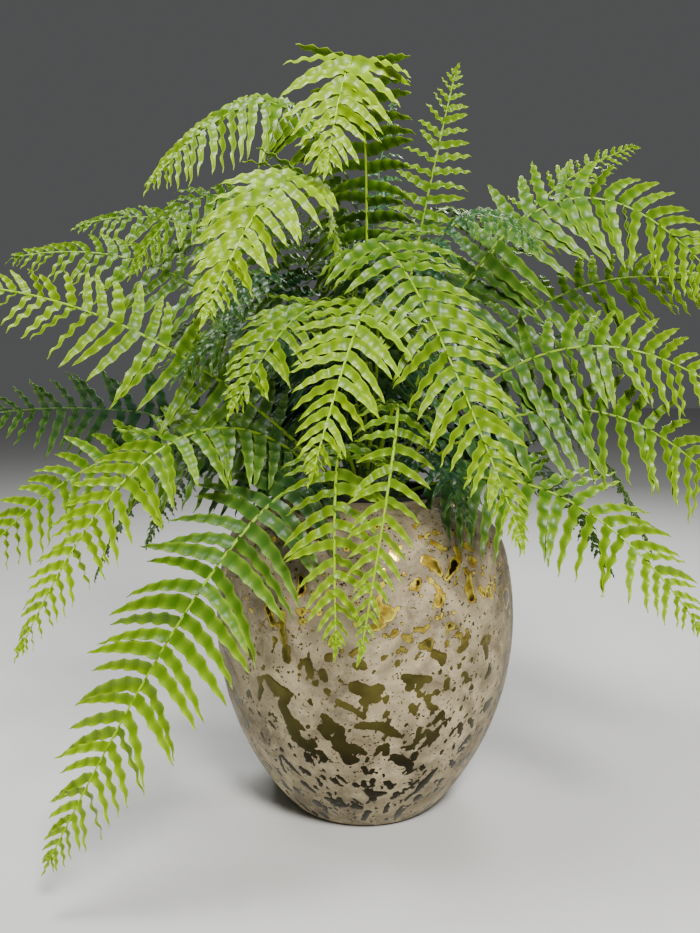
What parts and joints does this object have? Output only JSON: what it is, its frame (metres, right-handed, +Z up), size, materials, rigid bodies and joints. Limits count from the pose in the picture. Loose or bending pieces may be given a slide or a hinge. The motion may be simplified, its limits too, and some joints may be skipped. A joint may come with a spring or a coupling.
{
  "type": "planter",
  "caption": "Egg-shaped hollow ceramic planter pot with a gold-flecked matt coat, and a lift-out liner holding an artificial fern of arching fronds.",
  "frame": {"origin": "centre of the pot's flat foot, on the surface it stands on", "axes": "+Z up along the pot's axis, -Y the front, +X to the viewer's right"},
  "size_m": [0.6158, 0.4795, 0.5864],
  "materials": {
    "pot_coat": "matt taupe coat broken by mirror-gold flecks",
    "fern_leaf": "semi-gloss moulded leaf, yellow-green to blue-green",
    "stem_plastic": "moulded dark green",
    "liner_plastic": "satin black",
    "ballast_plaster": "cast plaster",
    "dry_foam": "open-cell dry foam",
    "moss": "dried moss fibre"
  },
  "bodies": {
    "pot": {"pot_shell": "pot_coat"},
    "fern": {"ballast": "ballast_plaster", "foam_block": "dry_foam", "frond_back_high_1": "fern_leaf", "frond_back_high_2": "fern_leaf", "frond_back_high_3": "fern_leaf", "frond_back_low_1": "fern_leaf", "frond_back_low_2": "fern_leaf", "frond_back_low_3": "fern_leaf", "frond_back_low_4": "fern_leaf", "frond_back_low_5": "fern_leaf", "frond_back_low_6": "fern_leaf", "frond_back_low_7": "fern_leaf", "frond_back_mid_1": "fern_leaf", "frond_back_mid_2": "fern_leaf", "frond_back_mid_3": "fern_leaf", "frond_back_mid_4": "fern_leaf", "frond_back_mid_5": "fern_leaf", "frond_back_mid_6": "fern_leaf", "frond_centre_inner": "fern_leaf", "frond_centre_left": "fern_leaf", "frond_front_left_high": "fern_leaf", "frond_front_low": "fern_leaf", "frond_front_low_left": "fern_leaf", "frond_front_mid": "fern_leaf", "frond_front_right": "fern_leaf", "frond_left_crest": "fern_leaf", "frond_left_dark": "fern_leaf", "frond_left_front": "fern_leaf", "frond_left_high": "fern_leaf", "frond_left_inner": "fern_leaf", "frond_left_low": "fern_leaf", "frond_left_mid": "fern_leaf", "frond_left_top": "fern_leaf", "frond_left_upper": "fern_leaf", "frond_low_left_front": "fern_leaf", "frond_right_front_low": "fern_leaf", "frond_right_high": "fern_leaf", "frond_right_inner": "fern_leaf", "frond_right_low": "fern_leaf", "frond_right_mid": "fern_leaf", "frond_right_rising": "fern_leaf", "frond_right_shoulder": "fern_leaf", "frond_right_upper": "fern_leaf", "frond_top_back": "fern_leaf", "frond_top_front": "fern_leaf", "frond_top_right": "fern_leaf", "liner_pot": "liner_plastic", "moss_top": "moss", "stem_crown": "stem_plastic", "stem_trunk": "stem_plastic"}
  },
  "joints": [
    {"name": "fern_lift", "type": "slide", "parent": "pot", "child": "fern", "axis": [0, 0, 1], "range_m": [0, 0.25]}
  ]
}
